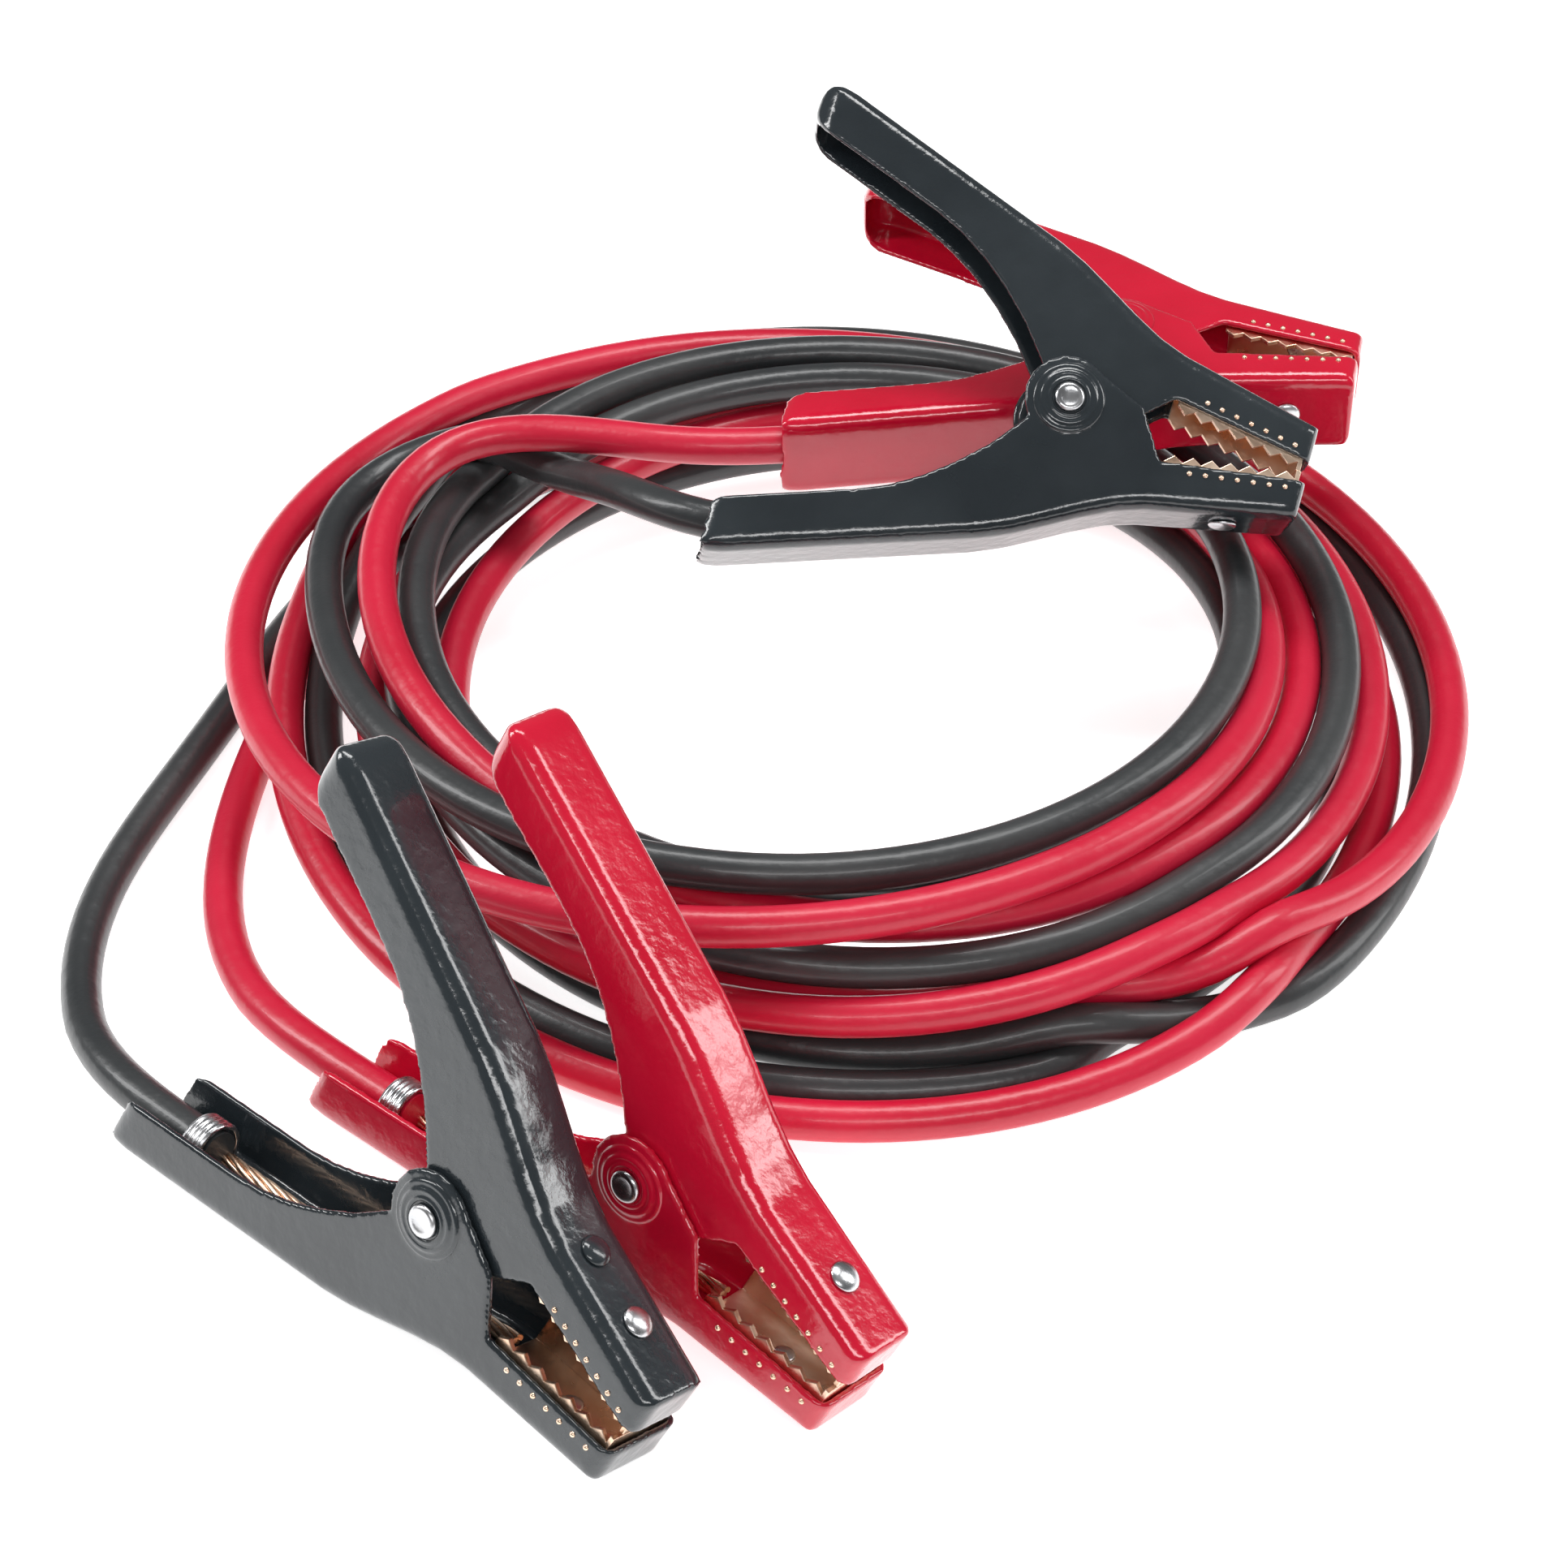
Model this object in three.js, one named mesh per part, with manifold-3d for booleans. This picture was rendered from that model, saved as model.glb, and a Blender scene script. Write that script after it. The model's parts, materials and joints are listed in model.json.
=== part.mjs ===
// Jumper cable set: four sprung clamps, two red and two black, on one coiled pair of cables.
// Millimetres, +Z up. The coil lies on the floor, two clamps stand in front of it and two lie on it.
import * as THREE from 'three';
import { mergeVertices } from 'three/addons/utils/BufferGeometryUtils.js';
import Module from 'manifold-3d';

const wasm = await Module();
wasm.setup();
const rad = THREE.MathUtils.degToRad;

// Clearances
const GAP = 0.3;
const HINGE_SIDE_GAP = 0.4;
const SPRING_BORE_GAP = 0.7;
const FUSE = 0.2;
const PAST = 30;

// Lever sheet with its vinyl coat
const SHEET = 1.8;
const BEND = 3.4;
const LOWER_WIDTH = 24;
const UPPER_WIDTH = LOWER_WIDTH - 2 * (SHEET + HINGE_SIDE_GAP);

// Lever side view: x runs from the pivot to the nose, z is the height over the pivot
const NOSE_X = 65;
const NOSE_HEIGHT = 13;
const LIP_HEIGHT = 2.7;
const JAW_SLOPE = rad(12.5);
const JAW_END_X = 27;
const HANDLE_SLOPE = rad(20.1);
const HANDLE_START_X = -12;
const SHOULDER_PULL = 12;
const TAIL_X = -83;
const TAIL_ROUND = 9;
const TAIL_CORNER = 7;
const TIP_ROUND = 6;
const HANDLE_DEPTH = 14.8;
const HANDLE_FREE_X = -46;
const NECK_X = -16;
const NECK_HEIGHT = 17;
const EAR_R = 11.5;
const INNER_EAR_R = 10.5;
const EAR_START = rad(140);
const EAR_END = rad(310);
const INNER_EAR_END = rad(360);
const MOUTH_X = 19.5;
const MOUTH_LAP = 3.5;
const TEETH_X = 27;
const TEETH_HEIGHT = 8.8;

// Jaw liner
const LINER_SHEET = 1.2;
const LINER_BACK_X = 28;
const TEETH = 7;
const TOOTH = 2.4;
const VALLEY = 0.6;
const TAB_LIFT = 0.3;

// Pin, boss and rivets
const PIN_R = 2.6;
const PIN_HEAD_R = 3.8;
const PIN_HEAD = 1.2;
const BOSS_R = 8.6;
const BOSS_STEP_R = 6.4;
const BOSS = 1;
const RIVET_R = 1.6;
const RIVET_HEAD_R = 3.7;
const RIVET_HEAD = 1.3;
const RIVET_TAIL_R = 2.5;
const RIVET_TAIL = 0.7;
const RIVET_X = 48;
const SECOND_RIVET_X = 31;

// Spring
const WIRE_R = 0.8;
const SPRING_LENGTH = 12;
const LEG_ANGLE = rad(125);
const LEG_SIDE = 4.5;

// Cables
const CABLE_D = 10;
const STRAP_X = -63;
const STRAP_LENGTH = 5;
const STRAP_SHEET = 1.5;
const CONDUCTOR_R = 2;
const CONDUCTOR_SIDE = 3;
const CONDUCTOR_START_X = -40;
const CONDUCTOR_END_X = 24;

// Coil: two nested rings of turns, a cable apart
const COIL_CENTRE = new THREE.Vector2(17, 24);
const COIL_BORE_R = 100;
const TURN = 10.4;
const INNER_COLUMNS = 3;
const OUTER_COLUMNS = 3;
const INNER_TOP = 50;
const OUTER_TOP = 32;
const TURN_BUMP = 2.5;
const LEAD_SIDES = 10;
const LEAD_STEP = 18;

// Clamp places: pivot in plan, then turn about the vertical, lean, and nose-down pitch in degrees
const CLAMPS = [
  {
    name: 'front_black', colour: 'black', rivets: 2,
    at: [-69, -184], rest: 0, yaw: -41, lean: -20, pitch: 20.1,
  },
  {
    name: 'front_red', colour: 'red', rivets: 1,
    at: [-26, -172], rest: 0, yaw: -40, lean: -14, pitch: 20.1,
  },
  {
    name: 'back_black', colour: 'black', rivets: 1,
    at: [72, 54.2], rest: INNER_TOP + GAP, yaw: 6.6, lean: -49, pitch: 21,
  },
  {
    name: 'back_red', colour: 'red', rivets: 1,
    at: [91, 104], rest: INNER_TOP + GAP, yaw: -12.8, lean: -88, pitch: 0,
  },
];

// Cable leads: chosen points from inside each clamp's handle to where the lead joins the coil
const LEADS = {
  front_black: [
    [-116.5, -155.2, 9.8], [-133.4, -140.5, 9.8], [-149.4, -126.5, 9.8], [-159.4, -116.5, 9.2],
    [-167, -104, 7], [-171.5, -90, 5.6], [-174, -74, 5.2], [-174, -56, 5.2], [-171, -38, 5.2],
    [-165, -20, 5.2], [-156.6, -4, 5.2], [-150.1, 14, 5.2],
  ],
  front_red: [
    [-72.2, -141.9, 9], [-89.4, -127.5, 9], [-105.7, -113.8, 9], [-116.5, -104, 8.4],
    [-127, -92, 6.6], [-135, -78, 5.4], [-141, -62, 5.2], [-143.7, -44, 5.2], [-142.9, -26, 5.2],
  ],
  back_black: [
    [19.5, 27.9, 63.55], [8.3, 26.8, 63.7], [-2.8, 25.6, 63.85], [-9, 25, 63.95],
    [-19, 26, 64.5], [-29, 31.5, 64.8], [-38, 41.5, 62.8], [-45.5, 53, 58],
    [-51.5, 63, 52.5], [-57.3, 72, 47.2], [-62.5, 79, 43.5],
  ],
  back_red: [
    [40.2, 69.8, 63.2], [18, 67, 63], [-3.1, 64.3, 62.7], [-17, 63.2, 62.6], [-32, 65.5, 62.2],
    [-47, 70.5, 61.3], [-62, 76.5, 59.8], [-76, 81.5, 57.6], [-88, 83.5, 55.9], [-98, 80.8, 55.4],
  ],
};

const COLOURS = {
  red: { color: 0xc8143a, roughness: 0.28, metalness: 0 },
  black: { color: 0x30363b, roughness: 0.3, metalness: 0 },
  copper: { color: 0xc97a48, roughness: 0.35, metalness: 1 },
  steel: { color: 0xc9cbcd, roughness: 0.3, metalness: 1 },
};

function material(colour) {
  return new THREE.MeshStandardMaterial(COLOURS[colour]);
}

// Solids that are joined or cut
function toSolid(geometry) {
  const bare = geometry.clone();
  bare.deleteAttribute('normal');
  bare.deleteAttribute('uv');
  const merged = mergeVertices(bare, 1e-4);
  const vertProperties = new Float32Array(merged.attributes.position.array);
  const triVerts = new Uint32Array(merged.index.array);
  return new wasm.Manifold(new wasm.Mesh({ numProp: 3, vertProperties, triVerts }));
}

function toGeometry(solid) {
  const mesh = solid.getMesh();
  const geometry = new THREE.BufferGeometry();
  geometry.setAttribute('position', new THREE.BufferAttribute(mesh.vertProperties, 3));
  geometry.setIndex(new THREE.BufferAttribute(mesh.triVerts, 1));
  geometry.computeVertexNormals();
  return geometry;
}

// A side-view outline made as wide as given, centred on the clamp's middle plane
function slab(points, width) {
  const geometry = new THREE.ExtrudeGeometry(new THREE.Shape(points), { depth: width, bevelEnabled: false });
  return geometry.translate(0, 0, -width / 2).rotateX(Math.PI / 2);
}

function roundedSlab(points, width, round) {
  const geometry = new THREE.ExtrudeGeometry(new THREE.Shape(points), {
    depth: width - 2 * round,
    bevelThickness: round,
    bevelSize: round,
    bevelOffset: -round,
    bevelSegments: 3,
  });
  return geometry.translate(0, 0, round - width / 2).rotateX(Math.PI / 2);
}

// Everything inside a plan outline: straight sides up to a tail with rounded corners
function planBlock(tailX, width, round) {
  const half = width / 2;
  const shape = new THREE.Shape();
  shape.moveTo(NOSE_X + PAST, -half);
  shape.lineTo(NOSE_X + PAST, half);
  shape.lineTo(tailX + round, half);
  shape.absarc(tailX + round, half - round, round, Math.PI / 2, Math.PI, false);
  shape.absarc(tailX + round, round - half, round, Math.PI, 1.5 * Math.PI, false);
  const reach = NOSE_X - TAIL_X;
  const geometry = new THREE.ExtrudeGeometry(new THREE.Shape(shape.getPoints(4)), {
    depth: 2 * reach,
    bevelEnabled: false,
  });
  return geometry.translate(0, 0, -reach);
}

// A turned piece with its axis along a direction
function turned(profile, segments, origin, direction) {
  const points = profile.map(([r, h]) => new THREE.Vector2(r, h));
  const geometry = new THREE.LatheGeometry(points, segments);
  const turn = new THREE.Quaternion().setFromUnitVectors(new THREE.Vector3(0, 1, 0), direction);
  return geometry.applyQuaternion(turn).translate(origin.x, origin.y, origin.z);
}

function rod(from, to, radius, sides) {
  const along = to.clone().sub(from);
  const profile = [[0, 0], [radius, 0], [radius, along.length()], [0, along.length()]];
  return turned(profile, sides, from, along.normalize());
}

// The lever's back: a straight jaw, a curved shoulder and a straight handle that lines up with the nose
function jawBack(x, inset = 0) {
  return NOSE_HEIGHT + (NOSE_X - x) * Math.tan(JAW_SLOPE) - inset / Math.cos(JAW_SLOPE);
}

function handleBack(x, inset = 0) {
  return NOSE_HEIGHT + (NOSE_X - x) * Math.tan(HANDLE_SLOPE) - inset / Math.cos(HANDLE_SLOPE);
}

function shoulder(inset) {
  const from = new THREE.Vector2(JAW_END_X, jawBack(JAW_END_X, inset));
  const pullFromX = JAW_END_X - SHOULDER_PULL;
  const pullFrom = new THREE.Vector2(pullFromX, jawBack(pullFromX, inset));
  const pullToX = HANDLE_START_X + SHOULDER_PULL;
  const pullTo = new THREE.Vector2(pullToX, handleBack(pullToX, inset));
  const to = new THREE.Vector2(HANDLE_START_X, handleBack(HANDLE_START_X, inset));
  return new THREE.CubicBezierCurve(from, pullFrom, pullTo, to).getPoints(5);
}

// The lever's block before its free edges are cut
function backOutline(inset, tailX) {
  const front = NOSE_X - inset;
  const roundFrom = new THREE.Vector2(tailX + TAIL_ROUND, handleBack(tailX + TAIL_ROUND, inset));
  const corner = new THREE.Vector2(tailX, handleBack(tailX, inset));
  const roundTo = new THREE.Vector2(tailX, corner.y - TAIL_ROUND);
  return [
    new THREE.Vector2(front, -PAST),
    new THREE.Vector2(front, jawBack(front, inset)),
    ...shoulder(inset),
    ...new THREE.QuadraticBezierCurve(roundFrom, corner, roundTo).getPoints(4),
    new THREE.Vector2(tailX, -PAST),
  ];
}

function teethLine(x) {
  return TEETH_HEIGHT + (x - TEETH_X) * (LIP_HEIGHT - TEETH_HEIGHT) / (NOSE_X - TEETH_X);
}

// Everything on the back's side of the free edge: tail tip, neck, ear round the pin, mouth and lip
function freeEdgeOutline(earR, earEnd, lap) {
  const beyond = PAST / 2;
  const top = handleBack(TAIL_X) + beyond;
  const edge = (x) => handleBack(x) - HANDLE_DEPTH;
  const shape = new THREE.Shape();
  shape.moveTo(NOSE_X + beyond, teethLine(NOSE_X + beyond));
  shape.lineTo(NOSE_X + beyond, top);
  shape.lineTo(TAIL_X - beyond, top);
  shape.lineTo(TAIL_X - beyond, edge(TAIL_X) + TIP_ROUND);
  shape.lineTo(TAIL_X, edge(TAIL_X) + TIP_ROUND);
  shape.quadraticCurveTo(TAIL_X, edge(TAIL_X), TAIL_X + TIP_ROUND, edge(TAIL_X + TIP_ROUND));
  shape.lineTo(HANDLE_FREE_X, edge(HANDLE_FREE_X));
  const bendX = (HANDLE_FREE_X + NECK_X) / 2;
  shape.quadraticCurveTo(bendX, edge(bendX), NECK_X, NECK_HEIGHT);
  shape.absarc(0, 0, earR, EAR_START, earEnd, false);
  shape.lineTo(MOUTH_X, -lap);
  shape.lineTo(TEETH_X, TEETH_HEIGHT);
  return shape.getPoints(4);
}

function onSide(points, side) {
  return points.map((p) => new THREE.Vector2(p.x, p.y * side));
}

// Where a rivet goes through the jaw's back, and which way it faces
function rivetPlace(x, side) {
  const origin = new THREE.Vector3(x, 0, jawBack(x) * side);
  const direction = new THREE.Vector3(Math.sin(JAW_SLOPE), 0, Math.cos(JAW_SLOPE) * side);
  return { origin, direction };
}

function rivetHole(x, side) {
  const { origin, direction } = rivetPlace(x, side);
  const half = direction.clone().multiplyScalar(PAST / 3);
  return toSolid(rod(origin.clone().sub(half), origin.clone().add(half), RIVET_R + GAP, 10));
}

function rivet(x, side) {
  const { origin, direction } = rivetPlace(x, side);
  const grip = SHEET + GAP + LINER_SHEET + GAP;
  const profile = [
    [0, -grip - RIVET_TAIL],
    [RIVET_TAIL_R, -grip - RIVET_TAIL],
    [RIVET_TAIL_R, -grip],
    [RIVET_R, -grip],
    [RIVET_R, GAP],
    [RIVET_HEAD_R, GAP],
    [RIVET_HEAD_R * 0.7, GAP + RIVET_HEAD * 0.75],
    [0, GAP + RIVET_HEAD],
  ];
  return turned(profile, 10, origin, direction);
}

const across = new THREE.Vector3(0, 1, 0);
const pivot = new THREE.Vector3(0, 0, 0);

// One lever, a folded channel with a closed nose: side is 1 for the upper and -1 for the lower
function lever(side, rivetXs) {
  const lower = side < 0;
  const width = lower ? LOWER_WIDTH : UPPER_WIDTH;
  const edge = lower
    ? freeEdgeOutline(EAR_R, EAR_END, MOUTH_LAP)
    : freeEdgeOutline(INNER_EAR_R, INNER_EAR_END, -MOUTH_LAP / 2);
  let solid = toSolid(roundedSlab(onSide(backOutline(0, TAIL_X), side), width, BEND));
  solid = solid.intersect(toSolid(slab(onSide(edge, side), width + PAST)));
  solid = solid.intersect(toSolid(planBlock(TAIL_X, width, TAIL_CORNER)));
  if (lower) {
    const bossProfile = [[0, -FUSE], [BOSS_R, -FUSE], [BOSS_R, BOSS / 2], [BOSS_STEP_R, BOSS], [0, BOSS]];
    for (const face of [1, -1]) {
      const origin = new THREE.Vector3(0, face * width / 2, 0);
      solid = solid.add(toSolid(turned(bossProfile, 20, origin, across.clone().multiplyScalar(face))));
    }
  }
  const channelTail = lower ? TAIL_X - PAST : TAIL_X + SHEET;
  const channelWidth = width - 2 * SHEET;
  let channel = toSolid(slab(onSide(backOutline(SHEET, channelTail), side), channelWidth));
  channel = channel.intersect(toSolid(planBlock(channelTail, channelWidth, TAIL_CORNER - SHEET)));
  solid = solid.subtract(channel);
  const holeHalf = new THREE.Vector3(0, LOWER_WIDTH, 0);
  solid = solid.subtract(toSolid(rod(holeHalf.clone().negate(), holeHalf, PIN_R + GAP, 16)));
  for (const x of rivetXs) {
    solid = solid.subtract(rivetHole(x, side));
  }
  return toGeometry(solid);
}

// Copper liner in a jaw: a base plate, two toothed walls and a tab that closes the nose
function liner(side, rivetXs) {
  const outer = (side < 0 ? LOWER_WIDTH : UPPER_WIDTH) - 2 * (SHEET + GAP);
  const frontX = NOSE_X - SHEET - GAP;
  const baseInset = SHEET + GAP;
  const toothed = [
    new THREE.Vector2(LINER_BACK_X, jawBack(LINER_BACK_X, baseInset)),
    new THREE.Vector2(frontX, jawBack(frontX, baseInset)),
    new THREE.Vector2(frontX, TAB_LIFT),
    new THREE.Vector2(frontX - LINER_SHEET, TAB_LIFT),
  ];
  const pitch = (frontX - LINER_SHEET - LINER_BACK_X) / TEETH;
  for (let i = 0; i < TEETH; i += 1) {
    const valleyX = frontX - LINER_SHEET - i * pitch;
    const peakX = valleyX - pitch / 2;
    toothed.push(new THREE.Vector2(valleyX, teethLine(valleyX) - VALLEY));
    toothed.push(new THREE.Vector2(peakX, teethLine(peakX) - TOOTH));
  }
  toothed.push(new THREE.Vector2(LINER_BACK_X, teethLine(LINER_BACK_X) - VALLEY));
  const innerInset = baseInset + LINER_SHEET;
  const innerFront = frontX - LINER_SHEET;
  const hollow = [
    new THREE.Vector2(0, jawBack(0, innerInset)),
    new THREE.Vector2(innerFront, jawBack(innerFront, innerInset)),
    new THREE.Vector2(innerFront, -PAST),
    new THREE.Vector2(0, -PAST),
  ];
  let solid = toSolid(slab(onSide(toothed, side), outer));
  solid = solid.subtract(toSolid(slab(onSide(hollow, side), outer - 2 * LINER_SHEET)));
  for (const x of rivetXs) {
    solid = solid.subtract(rivetHole(x, side));
  }
  return toGeometry(solid);
}

function pivotPin() {
  const seat = LOWER_WIDTH / 2 + BOSS + GAP;
  const top = seat + PIN_HEAD;
  const half = [
    [PIN_R, seat],
    [PIN_HEAD_R, seat],
    [PIN_HEAD_R * 0.8, seat + PIN_HEAD * 0.7],
    [0, top],
  ];
  const profile = [...half.map(([r, h]) => [r, -h]).reverse(), ...half];
  return turned(profile, 16, pivot, across);
}

// The spring leg leaves the coil at a tangent and ends against the handle's back
function springLeg(side, fromCoil) {
  const meanR = PIN_R + SPRING_BORE_GAP + WIRE_R;
  const start = new THREE.Vector2(Math.sin(LEG_ANGLE), -Math.cos(LEG_ANGLE)).multiplyScalar(meanR);
  const along = new THREE.Vector2(Math.cos(LEG_ANGLE), Math.sin(LEG_ANGLE));
  const inner = (t) => handleBack(start.x + t * along.x, SHEET) - (start.y + t * along.y);
  const wall = inner(0) / (inner(0) - inner(1));
  const meet = Math.PI - LEG_ANGLE - HANDLE_SLOPE;
  const end = wall - (WIRE_R + GAP) / Math.sin(meet) - WIRE_R / Math.tan(meet);
  const clear = meanR + 2 * WIRE_R + GAP;
  const begin = fromCoil ? 0 : Math.sqrt(clear * clear - meanR * meanR);
  const at = (t) => new THREE.Vector3(start.x + t * along.x, side * LEG_SIDE, (start.y + t * along.y) * side);
  return rod(at(begin), at(end), WIRE_R, 8);
}

function spring() {
  const boreR = PIN_R + SPRING_BORE_GAP;
  const outerR = boreR + 2 * WIRE_R;
  const half = SPRING_LENGTH / 2;
  const profile = [
    [boreR, -half],
    [outerR - FUSE, -half],
    [outerR, -half + WIRE_R],
    [outerR, half - WIRE_R],
    [outerR - FUSE, half],
    [boreR, half],
    [boreR, -half],
  ];
  return toGeometry(toSolid(turned(profile, 14, pivot, across)).add(toSolid(springLeg(-1, true))));
}

// Ribbed metal strap that holds the cable down in the lower handle
function cableStrap() {
  const cableHeight = GAP + CABLE_D / 2;
  const innerR = CABLE_D / 2 + 2 * GAP;
  const outerR = innerR + STRAP_SHEET;
  const arch = new THREE.Shape();
  arch.moveTo(outerR, GAP);
  arch.lineTo(outerR, cableHeight);
  arch.absarc(0, cableHeight, outerR, 0, Math.PI, false);
  arch.lineTo(-outerR, GAP);
  arch.lineTo(-innerR, GAP);
  arch.absarc(0, cableHeight, innerR, Math.PI, 0, true);
  arch.lineTo(innerR, GAP);
  const geometry = new THREE.ExtrudeGeometry(arch, {
    depth: STRAP_LENGTH,
    bevelEnabled: false,
    curveSegments: 8,
  });
  const axes = new THREE.Matrix4().makeBasis(
    new THREE.Vector3(0, 1, 0),
    new THREE.Vector3(-Math.sin(HANDLE_SLOPE), 0, Math.cos(HANDLE_SLOPE)),
    new THREE.Vector3(Math.cos(HANDLE_SLOPE), 0, Math.sin(HANDLE_SLOPE)),
  );
  geometry.applyMatrix4(axes);
  return geometry.translate(STRAP_X, 0, -handleBack(STRAP_X, SHEET));
}

// A round cable, wire or lead along a smooth curve through its points
function tube(points, diameter, sides, steps) {
  const section = new THREE.Shape();
  for (let i = 0; i < sides; i += 1) {
    const turn = (i + 0.5) * 2 * Math.PI / sides;
    const place = [diameter / 2 * Math.cos(turn), diameter / 2 * Math.sin(turn)];
    if (i === 0) {
      section.moveTo(...place);
    } else {
      section.lineTo(...place);
    }
  }
  const extrudePath = new THREE.CatmullRomCurve3(points, false, 'centripetal');
  return new THREE.ExtrudeGeometry(section, { extrudePath, steps, bevelEnabled: false });
}

// The bared conductor runs along the lower lever's back from the cable's end to the jaw
function conductor() {
  const inset = SHEET + GAP + CONDUCTOR_R;
  const back = [
    new THREE.Vector2(CONDUCTOR_START_X, handleBack(CONDUCTOR_START_X, inset)),
    ...shoulder(inset).reverse(),
    new THREE.Vector2(CONDUCTOR_END_X, jawBack(CONDUCTOR_END_X, inset)),
  ];
  const points = back
    .filter((p) => p.x <= CONDUCTOR_END_X)
    .map((p) => new THREE.Vector3(p.x, CONDUCTOR_SIDE, -p.y));
  return tube(points, 2 * CONDUCTOR_R, 8, 8);
}

// One clamp: its pieces in the pivot's frame, then turned, leaned and set down
function clamp({ name, colour, rivets, at, rest, yaw, lean, pitch }) {
  const group = new THREE.Group();
  const add = (piece, geometry, finish) => {
    const mesh = new THREE.Mesh(geometry, material(finish));
    mesh.name = `${name}_${piece}`;
    group.add(mesh);
  };
  const upperXs = rivets > 1 ? [RIVET_X, SECOND_RIVET_X] : [RIVET_X];
  add('lower_lever', lever(-1, [RIVET_X]), colour);
  add('upper_lever', lever(1, upperXs), colour);
  add('lower_jaw', liner(-1, [RIVET_X]), 'copper');
  add('upper_jaw', liner(1, upperXs), 'copper');
  add('lower_rivet', rivet(RIVET_X, -1), 'steel');
  add('upper_rivet', rivet(RIVET_X, 1), 'steel');
  if (rivets > 1) {
    add('second_upper_rivet', rivet(SECOND_RIVET_X, 1), colour);
  }
  add('pivot_pin', pivotPin(), 'steel');
  add('spring', spring(), 'steel');
  add('spring_arm', springLeg(1, false), 'steel');
  add('cable_strap', cableStrap(), 'steel');
  add('conductor', conductor(), 'copper');
  group.rotation.set(rad(lean), rad(pitch), rad(yaw), 'ZXY');
  group.position.set(at[0], at[1], 0);
  const low = new THREE.Box3().setFromObject(group, true).min.z;
  group.position.z = rest - low;
  group.updateMatrixWorld(true);
  return group;
}

// One ring of the coil, its top ridged by its turns
function coilRing(boreR, columns, top) {
  const outerR = boreR + columns * TURN;
  const profile = [
    [boreR + TURN_BUMP, 0],
    [outerR - TURN_BUMP, 0],
    [outerR, TURN_BUMP],
    [outerR, top - TURN_BUMP],
  ];
  for (let i = columns - 1; i >= 0; i -= 1) {
    const middle = boreR + (i + 0.5) * TURN;
    profile.push([middle + TURN / 4, top]);
    profile.push([middle - TURN / 4, top]);
    profile.push([middle - TURN / 2, top - TURN_BUMP]);
  }
  profile.push([boreR, TURN_BUMP]);
  profile.push([boreR + TURN_BUMP, 0]);
  const origin = new THREE.Vector3(COIL_CENTRE.x, COIL_CENTRE.y, 0);
  return turned(profile, 48, origin, new THREE.Vector3(0, 0, 1));
}

const set = new THREE.Group();
const clamps = new THREE.Group();
for (const place of CLAMPS) {
  clamps.add(clamp(place));
}
set.add(clamps);

const innerCoil = new THREE.Mesh(coilRing(COIL_BORE_R, INNER_COLUMNS, INNER_TOP), material('black'));
innerCoil.name = 'black_cable_coil';
const outerBore = COIL_BORE_R + INNER_COLUMNS * TURN + GAP;
const outerCoil = new THREE.Mesh(coilRing(outerBore, OUTER_COLUMNS, OUTER_TOP), material('red'));
outerCoil.name = 'red_cable_coil';
set.add(innerCoil, outerCoil);

for (const [name, places] of Object.entries(LEADS)) {
  const points = places.map((p) => new THREE.Vector3(...p));
  const length = new THREE.CatmullRomCurve3(points, false, 'centripetal').getLength();
  const geometry = tube(points, CABLE_D, LEAD_SIDES, Math.ceil(length / LEAD_STEP));
  const mesh = new THREE.Mesh(geometry, material(name.split('_')[1]));
  mesh.name = `${name}_lead`;
  set.add(mesh);
}

// The origin goes to the middle of the clamps' box, on the floor
const box = new THREE.Box3().setFromObject(clamps, true);
const middle = box.getCenter(new THREE.Vector3());
set.position.set(-middle.x, -middle.y, -box.min.z);
set.updateMatrixWorld(true);

export default set;
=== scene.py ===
# %% [markdown]
# # Jumper cable set: the looks
# The CAD frame is already in place. This script adds the fine surfaces, the cables, the
# materials, the light and the camera, in metres and in the same frame as the CAD.

import json
import math

import bmesh
import bpy
import numpy as np
from mathutils import Matrix, Vector


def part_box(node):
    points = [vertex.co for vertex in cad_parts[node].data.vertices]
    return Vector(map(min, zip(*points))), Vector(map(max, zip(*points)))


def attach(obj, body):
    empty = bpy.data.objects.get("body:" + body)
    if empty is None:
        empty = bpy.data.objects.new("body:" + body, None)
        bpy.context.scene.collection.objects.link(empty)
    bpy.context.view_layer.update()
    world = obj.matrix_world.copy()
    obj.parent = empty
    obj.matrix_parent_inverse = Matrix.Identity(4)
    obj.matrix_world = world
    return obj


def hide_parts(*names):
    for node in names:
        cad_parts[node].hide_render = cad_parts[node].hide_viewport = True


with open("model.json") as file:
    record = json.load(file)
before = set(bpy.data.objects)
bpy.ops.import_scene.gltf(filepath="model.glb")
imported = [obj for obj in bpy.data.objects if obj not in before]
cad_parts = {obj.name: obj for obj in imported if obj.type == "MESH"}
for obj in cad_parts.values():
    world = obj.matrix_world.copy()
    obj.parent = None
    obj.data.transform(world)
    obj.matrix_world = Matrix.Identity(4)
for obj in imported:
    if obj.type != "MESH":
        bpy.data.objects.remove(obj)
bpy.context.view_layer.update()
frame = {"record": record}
record = frame["record"]
MM = 0.001

# %% [markdown]
# The places below are written in a plan frame whose origin lies under the middle of the
# picture. The coil's centre is known in both frames, so it gives the shift between them.

# %% Plan frame
COIL_CENTRE = np.array([17.0, 24.0])
coil_low, coil_high = (np.array(c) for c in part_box("black_cable_coil"))
SHIFT = (coil_low + coil_high) / 2 - np.array([*COIL_CENTRE * MM, 0])
SHIFT[2] = 0.0


def plan(points):
    """Millimetres in the plan frame to metres in the row frame."""
    return np.array(points, float) * MM + SHIFT


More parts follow.
